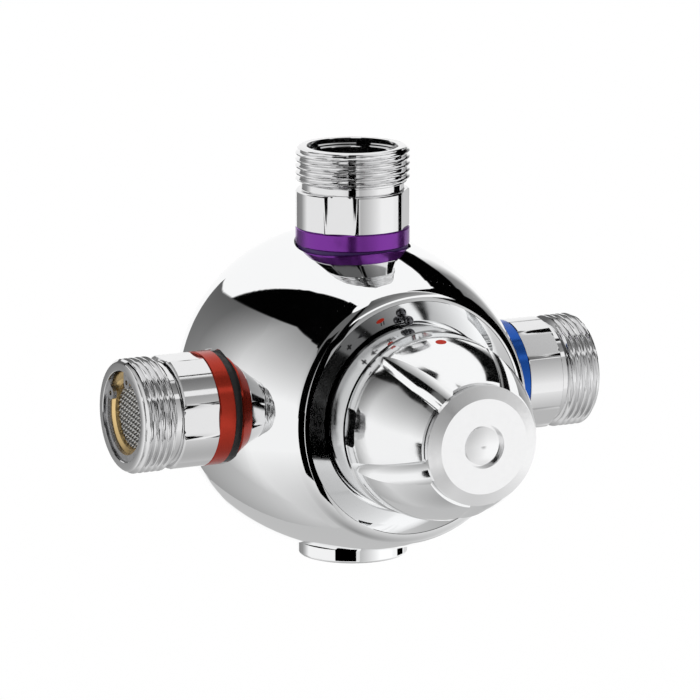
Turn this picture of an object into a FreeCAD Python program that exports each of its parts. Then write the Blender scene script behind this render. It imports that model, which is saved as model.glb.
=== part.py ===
"""Thermostatic mixing valve with two inlets, one outlet and a lobed control knob.

Built around the crossing of the port axes and saved with the origin at the centre of the mixed
outlet's end face. +Z points out of that outlet, +X out of the cold inlet, -X out of the hot inlet
and -Y towards the person who turns the knob. All lengths are in millimetres.
"""
import math
import os

import FreeCAD
import Part
from FreeCAD import Placement, Rotation, Vector

# Small fits and the amount by which a cutting tool runs past the face it opens
slip_gap = 0.05                # radial, between parts that stay put
overrun = 1.0

# Pipe threads and the tails that carry them, measured from each tail's end face inwards
thread_radius = 13.22          # crest of a 3/4 inch parallel pipe thread
thread_length = 8.4
thread_chamfer = 0.9
relief_depth = 1.27
relief_radius = thread_radius - relief_depth
relief_width = 1.5
collar_inset = 0.02            # the collar is turned just below the thread's crest
collar_radius = thread_radius - collar_inset
collar_width = 8.8
collar_edge = 0.4
collar_flat_share = 0.951      # flat to flat width over the collar's diameter
thread_run_out = 0.6
colour_ring_width = 4.1
colour_ring_edge = 0.3
seal_thickness = 1.6
seal_inset = 0.35              # the seal is this much smaller than the ring
collar_step = 3.2
tail_radius = collar_radius - collar_step   # spigot that goes into the body
spigot_wall = 1.4
tail_insertion = 6.0
inlet_reach = 59.0             # from the port crossing to each inlet's end face
outlet_reach = 58.1

# Mouth of a tail: circlip groove, strainer seat and waterway
mouth_wall = 2.72              # from the mouth to the thread's crest
mouth_radius = thread_radius - mouth_wall
groove_setback = 0.5
groove_width = 0.9
groove_depth = 0.7
waterway_radius = tail_radius - spigot_wall
outlet_ledge = 0.9
outlet_ledge_depth = 1.9
outlet_step_radius = mouth_radius - outlet_ledge   # down to the collar's inner end

# Circlip
circlip_bore = 8.9
circlip_gap_angle = 50.0
circlip_gap_centre = 25.0      # from straight up towards +Y at the hot inlet
lug_radius = 1.5
lug_hole_radius = 0.6
lug_centre_radius = 8.3
circlip_rim_gap = 0.1

# Strainer
rim_wall = 2.7
rim_length = 1.5
rim_edge = 0.3
rim_slope_width = 0.9
rim_slope_depth = 0.5
rim_gap = 0.1
mesh_thickness = 0.3

# Body: an egg turned about the knob's axis
crease_radius = 27.1           # where the rim in front meets the dial ring
crease_inset = 10.57           # from the egg's widest place in to the crease
egg_radius = crease_radius + crease_inset
egg_centre = 9.9               # behind the port crossing
egg_back = 32.5
egg_front = 64.5
face_front = 26.8              # flat front face that carries the bezel
wall_gap = 0.3                 # radial clearance of the spot faces round the seals
body_wall = 4.5
face_wall = 5.4
core_wall = 3.6                # wall between the cartridge cavity and the side chambers
web_half_width = 14.6          # solid web that carries the outlet and the plug

# Cartridge cavity and galleries
cavity_radius = 18.4
cavity_back = 22.0
port_bore_depth = 8.0          # behind each seat face
gallery_offset = 5.5           # hot gallery in front, cold gallery behind the crossing
gallery_width = 5.0
gallery_height = 13.0
gallery_overlap = 2.0          # how far a gallery runs into the bore it opens into
mixed_gallery_front = 12.6
mixed_gallery_back = 18.4
mixed_gallery_width = 12.0
mixed_gallery_height = 2.4     # of the flat passage under the outlet's bore
mixed_gallery_sink = 3.0       # the cavity's wall is curved across the gallery
drain_radius = 4.7

# Bezel, dial ring and limit peg; the bezel carries the egg on and then turns over to a crease
brow_start = 29.0
crease_front = 31.6
dial_gap = 0.1
dial_bore = 22.0
dial_lip_front = 29.8
dial_lip_width = 0.35
dial_lip_rise = 0.02
dial_lip_edge = 0.3
peg_radius = 0.55
peg_ball_radius = 1.12
peg_circle = 23.0
peg_angle = 95.0               # from +X towards +Z
peg_ball_front = 33.1
peg_depth = 2.0

# Knob
skirt_radius = 21.5
skirt_back = 28.4
skirt_front = 37.8
skirt_step = 0.35
skirt_edge = 0.3
shoulder_front = 50.0
shoulder_radius = 20.0
nose_radius = 14.4
knob_front = 62.0
knob_wall_radius = 18.2
knob_wall_front = 43.0
knob_web = 4.5
knob_web_radius = 10.7
hub_radius = 7.5
hub_back = 44.0
groove_count = 5
groove_first_angle = 57.0
groove_tool_radius = 4.0
groove_middle_depth = 0.65
groove_end_depth = 0.95        # at the nose; the groove comes to a point at the skirt
groove_run_out = 3.0
notch_angle = 47.0             # from each groove to the notch in the next lobe
notch_width = 8.6
notch_length = 4.6
notch_depth = 1.5
notch_corner = 1.6
notch_bite = 0.02              # the notch runs this far into the step

# Knob cap and centre cover
cap_radius = 13.72
cap_rise = 1.6
cap_front = knob_front + cap_rise
cap_bevel_rise = 1.1
cap_face_front = cap_front + cap_bevel_rise
cap_face_radius = 10.85
cap_edge = 0.3
cap_spigot_radius = 11.4
cap_spigot_length = 1.6
cap_floor_gap = 0.2
recess_radius = 5.0
recess_depth = 1.3
button_radius = 4.3
button_setback = 0.35
button_dome = 0.45
button_stem_radius = 2.4

# Drive: insert, screw, spindle, gland
square = 6.0
square_gap = 0.08
insert_radius = 5.6
insert_front = 57.4
insert_web = 1.8
screw_radius = 2.0
screw_lead = 0.4
screw_clearance = 0.1
screw_slot = 0.9
screw_slot_depth = 1.0
screw_head_flat = 2.2          # radius of the flat on top of the head
screw_head_radius = 3.6
screw_head_height = 2.2
screw_length = 12.0
spindle_radius = 5.0
running_gap = 0.05
spindle_tip = 55.0
square_back = 45.4
flange_radius = 9.8
flange_front = 24.6
flange_thickness = 2.2
drive_thread_radius = 4.0
drive_thread_end = 13.6
spindle_seal_place = 31.0
spindle_seal_wire = 0.6
spindle_neck = 3.7             # floor of the seal's groove
seal_squeeze = 0.05            # left free between a ring seal and its groove's sides
seal_wire = 0.78               # of the cartridge's seals
stop_lug_angle = 36.0
stop_lug_height = 1.4
stop_lug_inner = 7.2
stop_bite = 0.1                # the lug is sunk this far into the flange
stop_gap = 0.3                 # left between the gland's stop and the flange
thread_lead = 0.5
gland_back = 16.0
gland_hex = 20.0
gland_neck_back = 28.2
gland_front = 35.0
gland_lead = 0.6
gland_chamber_radius = 10.6
gland_face = 24.8
keyway_length = 5.0

# Cartridge: sleeve, travelling nut, capsule, shuttle and return spring
sleeve_radius = 15.6
sleeve_bore = 12.6
sleeve_rim_width = 2.0
sleeve_outlet_radius = 8.1
land_side = 1.3                # width of a land each side of its seal's groove
land_places = (-10.6, 0.0, 11.0)   # along +Y from the port crossing
window_width = 3.4
window_angle = 62.0
window_count = 4
hot_window = -6.0
cold_window = 6.0
mixed_window = 15.6
mixed_window_width = 4.0
sleeve_floor = 2.0
nut_radius = 9.0
nut_front = 19.8
nut_length = 9.8
nut_floor = 2.0
nut_key_width = 3.0
nut_key_length = 3.6
nut_key_reach = 2.4
nut_key_gap = 0.1
capsule_radius = 5.2
capsule_back = 13.0
capsule_edge = 0.8
capsule_flange_radius = 7.0
capsule_flange_thickness = 2.0
capsule_neck_radius = 3.7
capsule_neck_height = 1.2
piston_radius = 1.8
shuttle_length = 8.6
shuttle_wall = 1.6
shuttle_web = 2.0
shuttle_hole_radius = 1.5
shuttle_holes = 6
shuttle_gap = 0.05
return_wire = 1.1
return_turns = 4
return_radius = 9.4

# Non-return valves, measured from the port crossing outwards
cage_gap = 0.1                 # radial, in the waterway
cage_radius = waterway_radius - cage_gap
cage_wall = 1.1
cage_setback = 5.8             # behind the step that carries the strainer
cage_length = 16.0
cage_seat = 1.6
poppet_passage = 1.0           # radial room for the water round the open disc
poppet_radius = cage_radius - cage_wall - poppet_passage
seat_overlap = 1.2
seat_radius = poppet_radius - seat_overlap
poppet_thickness = 1.5
poppet_edge = 0.5
poppet_gap = 0.02              # left between the closed disc and its seat
poppet_nose_gap = 0.6
poppet_nose_rise = 0.7
stem_radius = 1.1
stem_tail = 1.4
hub_outer = 2.6
hub_length = 3.6
spoke_width = 1.4
spoke_height = 2.6
spoke_bite = 0.4               # each spoke's end is sunk this far into hub and barrel
spoke_count = 3
check_wire = 0.6
check_turns = 4
check_spring_radius = 3.6

# Bottom plug
plug_radius = 12.85
plug_reach = 38.1
plug_rim_round = 0.7
plug_head = 3.2
plug_seat = plug_reach - plug_head
plug_shank_radius = 9.4
plug_shank_length = 7.0
plug_floor_gap = 0.6
plug_lead = 0.6
plug_groove_floor = 7.1
plug_seal_wire = 1.1

# Directions out of the valve
HOT = Vector(-1, 0, 0)
COLD = Vector(1, 0, 0)
UP = Vector(0, 0, 1)
DOWN = Vector(0, 0, -1)
FRONT = Vector(0, -1, 0)
AXIS = Vector(0, 0, 1)

# Turn of each collar's flats about its port axis
hot_flats_turn = 0.0
cold_flats_turn = 45.0
mixed_flats_turn = 50.0


def turned(outline, full=360.0):
    """Solid of revolution about +Z; outline holds (radius, height) points, and a pair of points
    is the middle and the end of an arc."""
    def place(point):
        return Vector(point[0], 0, point[1])
    edges = []
    last = place(outline[0])
    for item in list(outline[1:]) + [outline[0]]:
        if isinstance(item[0], tuple):
            middle, end = place(item[0]), place(item[1])
            edges.append(Part.Arc(last, middle, end).toShape())
        else:
            end = place(item)
            if end.distanceToPoint(last) < 1e-7:
                continue
            edges.append(Part.makeLine(last, end))
        last = end
    face = Part.Face(Part.Wire(edges))
    return face.revolve(Vector(0, 0, 0), AXIS, full)


def dome(radius, edge, top):
    """Arc for an outline, from (radius, edge) up to the axis, square to the axis there."""
    rise = top - edge
    ball = (radius ** 2 + rise ** 2) / (2 * rise)
    half = radius / 2
    return ((half, top - ball + math.sqrt(ball ** 2 - half ** 2)), (0, top))


def tube(outer, inner, low, high):
    """Ring with square edges about +Z."""
    return turned([(inner, low), (outer, low), (outer, high), (inner, high)])


def rod(radius, low, high):
    return Part.makeCylinder(radius, high - low, Vector(0, 0, low))


def box(x, y, z):
    """Box between the given (low, high) pairs."""
    return Part.makeBox(x[1] - x[0], y[1] - y[0], z[1] - z[0], Vector(x[0], y[0], z[0]))


def spun(shape, angle):
    """Copy of a shape turned about +Z."""
    copy = shape.copy()
    copy.rotate(Vector(0, 0, 0), AXIS, angle)
    return copy


def aimed(shape, direction):
    """Copy of a shape whose local +Z points along the direction."""
    copy = shape.copy()
    copy.Placement = Placement(Vector(0, 0, 0), Rotation(AXIS, direction)).multiply(copy.Placement)
    return copy


def ringed(shape, count, first=0.0):
    """List of copies spaced evenly about +Z."""
    return [spun(shape, first + 360.0 * i / count) for i in range(count)]


def coil(radius, wire, low, high, turns):
    """Compression spring about +Z, with square wire to keep its facets few."""
    pitch = (high - low - wire) / turns
    path = Part.makeHelix(pitch, pitch * turns, radius)
    half = wire / 2
    corners = [Vector(radius + a, 0, b) for a, b in
               ((-half, -half), (half, -half), (half, half), (-half, half))]
    section = Part.makePolygon(corners + [corners[0]])
    spring = Part.Wire(path.Edges).makePipeShell([section], True, True)
    spring.translate(Vector(0, 0, low + half))
    return spring


def ring_seal(radius, wire):
    """Ring seal whose wire's middle is on the radius, at height 0."""
    return Part.makeTorus(radius, wire)


# Distances worked out from the tails
def ring_height(reach):
    """Inner face of the colour ring."""
    return reach - thread_length - relief_width - collar_width - colour_ring_width


def seat_height(reach):
    """Flat seat in the body under the seal."""
    return ring_height(reach) - seal_thickness


def make_tail(reach, seat_depth, bore):
    """Threaded tail with its relief, collar with four flats, spigot and stepped mouth; the bore
    runs to the collar's inner end and the waterway goes on from there."""
    thread_end = reach - thread_length
    collar_top = thread_end - relief_width
    collar_low = collar_top - collar_width
    tail_low = seat_height(reach) - tail_insertion
    groove_low = reach - groove_setback - groove_width
    outside = turned([
        (0, tail_low), (tail_radius, tail_low), (tail_radius, collar_low),
        (collar_radius, collar_low), (collar_radius, collar_top - collar_edge),
        (collar_radius - collar_edge, collar_top), (relief_radius, collar_top),
        (relief_radius, thread_end), (thread_radius - thread_run_out, thread_end),
        (thread_radius, thread_end + thread_run_out), (thread_radius, reach - thread_chamfer),
        (thread_radius - thread_chamfer, reach), (0, reach)])
    low, high = tail_low - overrun, reach + overrun
    inside = turned([
        (0, low), (waterway_radius, low), (waterway_radius, collar_low), (bore, collar_low),
        (bore, reach - seat_depth), (mouth_radius, reach - seat_depth),
        (mouth_radius, groove_low), (mouth_radius + groove_depth, groove_low),
        (mouth_radius + groove_depth, groove_low + groove_width),
        (mouth_radius, groove_low + groove_width), (mouth_radius, high), (0, high)])
    flat = collar_flat_share * collar_radius
    flat_cutter = box((flat, 2 * collar_radius), (-collar_radius, collar_radius),
                      (collar_low - overrun, collar_top + relief_width / 2))
    ring_of_cutters = ringed(flat_cutter, 4)
    return outside.cut([inside] + ring_of_cutters)


def make_colour_ring(reach):
    low = ring_height(reach)
    high = low + colour_ring_width
    bore = tail_radius + slip_gap
    edge = colour_ring_edge
    return turned([
        (bore, low), (collar_radius - edge, low), (collar_radius, low + edge),
        (collar_radius, high - edge), (collar_radius - edge, high), (bore, high)])


def make_seal(reach):
    outer = collar_radius - seal_inset
    return tube(outer, tail_radius + slip_gap, seat_height(reach), ring_height(reach))


def make_circlip():
    """Internal retaining ring with two holed lugs beside its gap."""
    low = inlet_reach - groove_setback - groove_width
    high = low + groove_width
    outer = mouth_radius + groove_depth - circlip_rim_gap
    ring = tube(outer, circlip_bore, low, high)
    half = circlip_gap_angle / 2
    wedge_length = 2 * outer
    wedge = Part.Face(Part.makePolygon([
        Vector(0, 0, low), spoke(wedge_length, circlip_gap_centre - half, low),
        spoke(wedge_length, circlip_gap_centre + half, low), Vector(0, 0, low)]))
    ring = ring.cut(wedge.extrude(Vector(0, 0, groove_width)))
    for side in (-1, 1):
        angle = circlip_gap_centre + side * (half + math.degrees(lug_radius / lug_centre_radius))
        centre = spoke(lug_centre_radius, angle, low)
        ring = ring.fuse(Part.makeCylinder(lug_radius, groove_width, centre))
        ring = ring.cut(Part.makeCylinder(lug_hole_radius, groove_width, centre))
    return ring.removeSplitter()


def spoke(radius, angle, height):
    """Point at a radius and an angle in degrees."""
    turn = math.radians(angle)
    return Vector(radius * math.cos(turn), radius * math.sin(turn), height)


def filter_front():
    """Front face of the strainer's rim, just behind the circlip."""
    return inlet_reach - groove_setback - groove_width


def make_filter_rim():
    """Turned ring that clamps the strainer's cloth against the step in the mouth."""
    high = filter_front()
    low = high - rim_length
    outer = mouth_radius - rim_gap
    inner = outer - rim_wall
    return turned([
        (inner, low), (outer, low), (outer, high - rim_edge), (outer - rim_edge, high),
        (inner + rim_slope_width, high), (inner, high - rim_slope_depth)])


def make_filter_mesh():
    """Disc that stands for the woven cloth between the rim and the step."""
    high = filter_front() - rim_length
    return rod(mouth_radius - rim_gap, high - mesh_thickness, high)


def inlet_seat_depth():
    """Depth of the step that the strainer rests on."""
    return groove_setback + groove_width + rim_length + mesh_thickness


def egg_side(radius, front):
    """Ellipse of an egg's front half, from its nose on +Z to its widest place."""
    centre = Vector(0, 0, -egg_centre)
    return Part.Ellipse(centre + Vector(0, 0, front), centre + Vector(radius, 0, 0), centre)


def egg_turn(front, height):
    """The ellipse's parameter at a height along the knob's axis."""
    return math.acos((height + egg_centre) / front)


def egg(radius, back, front, cut):
    """Egg about +Z, cut flat in front at a height."""
    centre = Vector(0, 0, -egg_centre)
    side = centre + Vector(radius, 0, 0)
    rear = Part.Ellipse(side, centre - Vector(0, 0, back), centre)
    fore = egg_side(radius, front)
    start = egg_turn(front, cut)
    top = Vector(0, 0, cut)
    edges = [rear.toBSpline(0, math.pi / 2).toShape(),
             fore.toBSpline(start, math.pi / 2).toShape(),
             Part.makeLine(fore.value(start), top),
             Part.makeLine(top, centre - Vector(0, 0, back))]
    wire = Part.Wire(Part.__sortEdges__(edges))
    return Part.Face(wire).revolve(Vector(0, 0, 0), AXIS, 360)


def make_chambers():
    """Cast hot and cold chambers each side of the web, round the port bosses."""
    plate = face_front - face_wall
    hollow = egg(egg_radius - body_wall, egg_back - body_wall, egg_front - body_wall, plate)
    hollow = aimed(hollow, FRONT)
    core = aimed(rod(cavity_radius + core_wall, -cavity_back - core_wall, face_front), FRONT)
    web = box((-web_half_width, web_half_width), (-2 * egg_radius, 2 * egg_radius),
              (-2 * egg_radius, 2 * egg_radius))
    seat = seat_height(inlet_reach)
    boss = rod(tail_radius + core_wall, seat - port_bore_depth, seat + body_wall)
    return hollow.cut([core, web, aimed(boss, HOT), aimed(boss, COLD)])


def make_body():
    """Cast body: egg, port bosses, flat bezel face, spot faces, bores, chambers and cavity."""
    shell = aimed(egg(egg_radius, egg_back, egg_front, face_front), FRONT)
    cuts = [aimed(rod(cavity_radius, -cavity_back, face_front + overrun), FRONT)]
    for reach, direction in ((inlet_reach, HOT), (inlet_reach, COLD), (outlet_reach, UP)):
        seat = seat_height(reach)
        boss = rod(collar_radius - seal_inset, seat - port_bore_depth, seat)
        shell = shell.fuse(aimed(boss, direction))
        cuts.append(aimed(rod(collar_radius + wall_gap, seat, reach), direction))
        cuts.append(aimed(rod(tail_radius + slip_gap, seat - port_bore_depth, seat + overrun),
                          direction))
    cuts.append(aimed(rod(plug_radius + wall_gap, plug_seat, inlet_reach), DOWN))
    shank_end = plug_seat - plug_shank_length
    cuts.append(aimed(rod(plug_shank_radius + slip_gap, shank_end - plug_floor_gap,
                          plug_seat + overrun), DOWN))
    cuts.append(aimed(rod(drain_radius, cavity_radius - overrun, shank_end), DOWN))
    cuts.append(make_chambers())
    for side in (-1, 1):
        middle = side * gallery_offset
        inner, outer = cavity_radius - gallery_overlap, cavity_radius + core_wall + overrun
        across = (inner, outer) if side > 0 else (-outer, -inner)
        cuts.append(box(across, (middle - gallery_width / 2, middle + gallery_width / 2),
                        (-gallery_height / 2, gallery_height / 2)))
    port_floor = seat_height(outlet_reach) - port_bore_depth
    half = mixed_gallery_width / 2
    port_overlap = port_floor + gallery_overlap
    cuts.append(box((-half, half), (mixed_gallery_front, mixed_gallery_back),
                    (cavity_radius - mixed_gallery_sink, port_overlap)))
    cuts.append(box((-half, half), (0, mixed_gallery_back),
                    (port_floor - mixed_gallery_height, port_overlap)))
    for tool in cuts:
        shell = shell.cut(tool)
    return shell.removeSplitter()


def make_bezel():
    """Rim that carries the egg on in front of the body and turns over to the dial's crease."""
    side = egg_side(egg_radius, egg_front)
    root = egg_turn(egg_front, face_front)
    brow = egg_turn(egg_front, brow_start)
    crease = Vector(crease_radius, 0, crease_front)
    inner = Vector(crease_radius, 0, face_front)
    start, along = side.value(brow), side.tangent(brow)[0]
    edges = [Part.makeLine(inner, side.value(root)), side.toBSpline(brow, root).toShape(),
             Part.Arc(start, brow_middle(start, along, crease), crease).toShape(),
             Part.makeLine(crease, inner)]
    wire = Part.Wire(Part.__sortEdges__(edges))
    return Part.Face(wire).revolve(Vector(0, 0, 0), AXIS, 360)


def brow_middle(start, along, end):
    """Middle of the arc that leaves the start along a direction and meets the end."""
    chord = end - start
    across = Vector(along.z, 0, -along.x)
    radius = chord.dot(chord) / (2 * chord.dot(across))
    centre = start + across * radius
    outwards = ((start + end) / 2 - centre).normalize()
    return centre + outwards * abs(radius)


def make_dial_ring():
    """Conical ring that falls back from the crease to the knob's skirt."""
    outer = crease_radius - dial_gap
    ring = turned([
        (dial_bore, face_front), (outer, face_front), (outer, crease_front - dial_gap),
        (dial_bore + dial_lip_width, dial_lip_front + dial_lip_rise),
        (dial_bore, dial_lip_front - dial_lip_edge)])
    hole = Part.makeCylinder(peg_radius, crease_front, peg_foot(), AXIS)
    return ring.cut(hole)


def peg_foot():
    """Bottom of the limit peg's hole, in the dial's frame, where +X is up once aimed."""
    return front_point(peg_circle, peg_angle, dial_lip_front - peg_depth)


def front_point(radius, angle, height):
    """Point about the knob's axis; the angle runs from +X towards +Z on the valve."""
    turn = math.radians(angle)
    place = Rotation(AXIS, FRONT).inverted()
    across = place.multVec(Vector(math.cos(turn), 0, math.sin(turn)))
    return across * radius + Vector(0, 0, height)


def front_angle(angle):
    """The same angle measured about local +Z from local +X."""
    point = front_point(1, angle, 0)
    return math.degrees(math.atan2(point.y, point.x))


def make_limit_peg():
    """Small pin with a ball end, pressed into the dial ring."""
    foot = peg_foot()
    reach = peg_ball_front - peg_ball_radius
    pin = turned([(0, foot.z), (peg_radius, foot.z), (peg_radius, reach), (0, reach)])
    ball = Part.makeSphere(peg_ball_radius, Vector(0, 0, reach))
    peg = pin.fuse(ball)
    peg.translate(Vector(foot.x, foot.y, 0))
    return peg.removeSplitter()


def knob_outline():
    """Outer profile of the knob from the skirt's back edge to the nose."""
    return [
        (skirt_radius, skirt_back), (skirt_radius, skirt_front - skirt_edge),
        (skirt_radius - skirt_step, skirt_front),
        ((shoulder_radius, shoulder_front), (nose_radius, knob_front))]


def make_knob_groove():
    """Leaf-shaped cut: a round tool on an arc that leaves the surface at the skirt."""
    start = Vector(skirt_radius - skirt_step + groove_tool_radius, 0, skirt_front)
    middle = Vector(shoulder_radius + groove_tool_radius - groove_middle_depth, 0,
                    shoulder_front)
    end = Vector(nose_radius + groove_tool_radius - groove_end_depth, 0, knob_front)
    path = Part.Circle(start, middle, end)
    spoke = start - path.Center
    along = spoke.cross(Vector(0, 1, 0))
    section = Part.Wire(Part.Circle(start, along, groove_tool_radius).toShape())
    turn = spoke.getAngle(end - path.Center) + groove_run_out / path.Radius
    return Part.Face(section).revolve(path.Center, Vector(0, -1, 0), math.degrees(turn))


def make_knob_notch():
    """Pocket with two rounded corners, open to the step above the skirt."""
    half = notch_width / 2
    low, high = skirt_front - notch_bite, skirt_front + notch_length
    corner = notch_corner
    diagonal = corner * (1 - math.sqrt(0.5))
    floor = skirt_radius - skirt_step - notch_depth
    points = [Vector(floor, y, z) for y, z in (
        (-half, low), (half, low), (half, high - corner), (half - diagonal, high - diagonal),
        (half - corner, high), (corner - half, high), (diagonal - half, high - diagonal),
        (-half, high - corner))]
    edges = [Part.makeLine(points[0], points[1]), Part.makeLine(points[1], points[2]),
             Part.Arc(points[2], points[3], points[4]).toShape(),
             Part.makeLine(points[4], points[5]),
             Part.Arc(points[5], points[6], points[7]).toShape(),
             Part.makeLine(points[7], points[0])]
    return Part.Face(Part.Wire(edges)).extrude(Vector(3 * notch_depth, 0, 0))


def make_knob():
    """Five-lobed grip with its skirt, hollow behind, with a hub for the drive insert."""
    solid = turned([(0, skirt_back)] + knob_outline() + [(0, knob_front)])
    back = skirt_back - overrun
    web_back = knob_front - knob_web
    hollow = turned([
        (0, back), (knob_wall_radius, back), (knob_wall_radius, knob_wall_front),
        (knob_web_radius, web_back), (hub_radius, web_back), (hub_radius, hub_back),
        (0, hub_back)])
    bore = rod(insert_radius + slip_gap, back, knob_front + overrun)
    spigot = rod(cap_spigot_radius + slip_gap, knob_front - cap_spigot_length - cap_floor_gap,
                 knob_front + overrun)
    cuts = [hollow, bore, spigot]
    cuts += ringed(make_knob_groove(), groove_count, front_angle(groove_first_angle))
    cuts += ringed(make_knob_notch(), groove_count, front_angle(groove_first_angle + notch_angle))
    for tool in cuts:
        solid = solid.cut(tool)
    return solid.removeSplitter()


def make_knob_cap():
    """Bevelled end cap with a recess for the centre cover."""
    floor = cap_face_front - recess_depth
    spigot_end = knob_front - cap_spigot_length
    hole = button_stem_radius + slip_gap
    return turned([
        (hole, spigot_end), (cap_spigot_radius, spigot_end), (cap_spigot_radius, knob_front),
        (cap_radius - cap_edge, knob_front), (cap_radius, knob_front + cap_edge),
        (cap_radius, cap_front), (cap_face_radius, cap_face_front),
        (recess_radius, cap_face_front), (recess_radius, floor), (hole, floor)])


def make_centre_button():
    """Cover of the fixing screw, set in the cap's recess."""
    floor = cap_face_front - recess_depth
    edge = cap_face_front - button_setback - button_dome
    top = cap_face_front - button_setback
    stem_end = knob_front - cap_spigot_length / 2
    return turned([
        (0, stem_end), (button_stem_radius, stem_end), (button_stem_radius, floor),
        (button_radius, floor), (button_radius, edge), dome(button_radius, edge, top)])


def make_knob_insert():
    """Brass hub with a square socket, held in the knob's bore."""
    outside = rod(insert_radius, square_back, insert_front)
    half = square / 2 + square_gap
    socket = box((-half, half), (-half, half),
                 (square_back - overrun, insert_front - insert_web))
    hole = rod(screw_radius + screw_clearance, square_back, insert_front + overrun)
    return outside.cut([socket, hole])


def make_knob_screw():
    """Pan-head screw into the spindle's end."""
    tip = insert_front - screw_length
    head = insert_front + screw_head_height
    crown = screw_head_radius - screw_head_flat
    bend = crown * (1 - math.sqrt(0.5))
    screw = turned([
        (0, tip), (screw_radius - screw_lead, tip), (screw_radius, tip + screw_lead),
        (screw_radius, insert_front), (screw_head_radius, insert_front),
        (screw_head_radius, head - crown),
        ((screw_head_radius - bend, head - bend), (screw_head_flat, head)), (0, head)])
    slot = box((-screw_slot / 2, screw_slot / 2), (-screw_head_flat, screw_head_flat),
               (head - screw_slot_depth, head + overrun))
    return screw.cut([slot, spun(slot, 90)])


def make_spindle():
    """Spindle: square end for the knob, seal groove, stop flange and threaded tail."""
    flange_back = flange_front - flange_thickness
    groove_low = spindle_seal_place - spindle_seal_wire - seal_squeeze
    groove_high = spindle_seal_place + spindle_seal_wire + seal_squeeze
    turned_part = turned([
        (0, drive_thread_end), (drive_thread_radius - thread_lead, drive_thread_end),
        (drive_thread_radius, drive_thread_end + thread_lead),
        (drive_thread_radius, flange_back), (flange_radius, flange_back),
        (flange_radius, flange_front), (spindle_radius, flange_front),
        (spindle_radius, groove_low), (spindle_neck, groove_low),
        (spindle_neck, groove_high), (spindle_radius, groove_high),
        (spindle_radius, square_back), (0, square_back)])
    half = square / 2
    tip = box((-half, half), (-half, half), (square_back - overrun, spindle_tip))
    lug = stop_sector(flange_back - stop_lug_height, flange_back + stop_bite, flange_radius, 0.0)
    bore = rod(screw_radius + slip_gap, insert_front - screw_length - overrun,
               spindle_tip + overrun)
    return turned_part.fuse([tip, lug]).cut(bore).removeSplitter()


def stop_sector(low, high, outer, angle):
    """Sector of a ring centred on an angle, used for the two stops."""
    ring = turned([(stop_lug_inner, low), (outer, low), (outer, high), (stop_lug_inner, high)],
                  stop_lug_angle)
    return spun(ring, angle - stop_lug_angle / 2)


def make_gland_nut():
    """Retaining nut: flange in the cavity, neck with a hexagon, chamber for the stop flange."""
    outer = cavity_radius - slip_gap
    bore = spindle_radius + running_gap
    turned_part = turned([
        (bore, gland_face), (gland_chamber_radius, gland_face),
        (gland_chamber_radius, gland_back), (outer, gland_back), (outer, face_front),
        (gland_chamber_radius, gland_neck_back), (gland_chamber_radius, gland_front),
        (bore + gland_lead, gland_front), (bore, gland_front - gland_lead)])
    flats = Part.Face(Part.makePolygon(
        [spoke(gland_hex / math.sqrt(3), 60 * i, gland_neck_back) for i in range(7)]))
    hexagon = flats.extrude(Vector(0, 0, gland_front))
    neck = rod(2 * outer, gland_neck_back, gland_front + overrun)
    flange_back = flange_front - flange_thickness
    arm = stop_sector(flange_back - stop_lug_height, flange_back - stop_gap,
                      gland_chamber_radius + overrun, 180.0)
    keyway = nut_keys(nut_key_gap, gland_back - overrun, gland_back + keyway_length)
    return turned_part.cut([neck.cut(hexagon), keyway]).fuse(arm).removeSplitter()


def make_sleeve():
    """Cartridge sleeve: three lands with seal grooves, three rows of windows and a floor."""
    low, high = -cavity_back, gland_back
    rim = cavity_radius - slip_gap
    outline = [(sleeve_bore, low + sleeve_floor), (sleeve_bore, high), (rim, high),
               (rim, high - sleeve_rim_width), (sleeve_radius, high - sleeve_rim_width)]
    floor = land_floor()
    for place in land_places:
        middle = -place
        groove = seal_wire + seal_squeeze
        side = groove + land_side
        outline += [
            (sleeve_radius, middle + side), (rim, middle + side),
            (rim, middle + groove), (floor, middle + groove),
            (floor, middle - groove), (rim, middle - groove),
            (rim, middle - side), (sleeve_radius, middle - side)]
    outline += [(sleeve_radius, low), (sleeve_outlet_radius, low),
                (sleeve_outlet_radius, low + sleeve_floor)]
    cuts = []
    for place, width in ((hot_window, window_width), (cold_window, window_width),
                         (mixed_window, mixed_window_width)):
        inner, outer = sleeve_bore - overrun, sleeve_radius + overrun
        window = turned([
            (inner, -place - width / 2), (outer, -place - width / 2),
            (outer, -place + width / 2), (inner, -place + width / 2)], window_angle)
        cuts += ringed(window, window_count)
    return turned(outline).cut(cuts)


def land_floor():
    """Radius of the floor of the grooves for the cartridge's seals."""
    return cavity_radius - 2 * (seal_wire + seal_squeeze)


def make_cartridge_seals():
    rings = []
    for place in land_places:
        ring = ring_seal(land_floor() + seal_squeeze + seal_wire, seal_wire)
        ring.translate(Vector(0, 0, -place))
        rings.append(ring)
    return Part.makeCompound(rings)


def nut_keys(gap, low, high):
    """Two bars across the travelling nut's sides, or their keyways where a gap is given."""
    half = nut_key_width / 2 + gap
    bar = box((nut_radius - nut_key_reach, nut_radius + nut_key_reach + gap), (-half, half),
              (low, high))
    bars = ringed(bar, 2, 90.0)
    return bars[0].fuse(bars[1])


def make_travel_nut():
    """Cup-shaped nut on the spindle's thread, kept from turning by two keys."""
    cup = turned([
        (0, piston_end()), (nut_radius, piston_end()), (nut_radius, nut_front),
        (drive_thread_radius + running_gap, nut_front),
        (drive_thread_radius + running_gap, piston_end() + nut_floor),
        (0, piston_end() + nut_floor)])
    return cup.fuse(nut_keys(0, nut_front - nut_key_length, nut_front)).removeSplitter()


def piston_end():
    """Height where the piston touches the travelling nut."""
    return nut_front - nut_length


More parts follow.
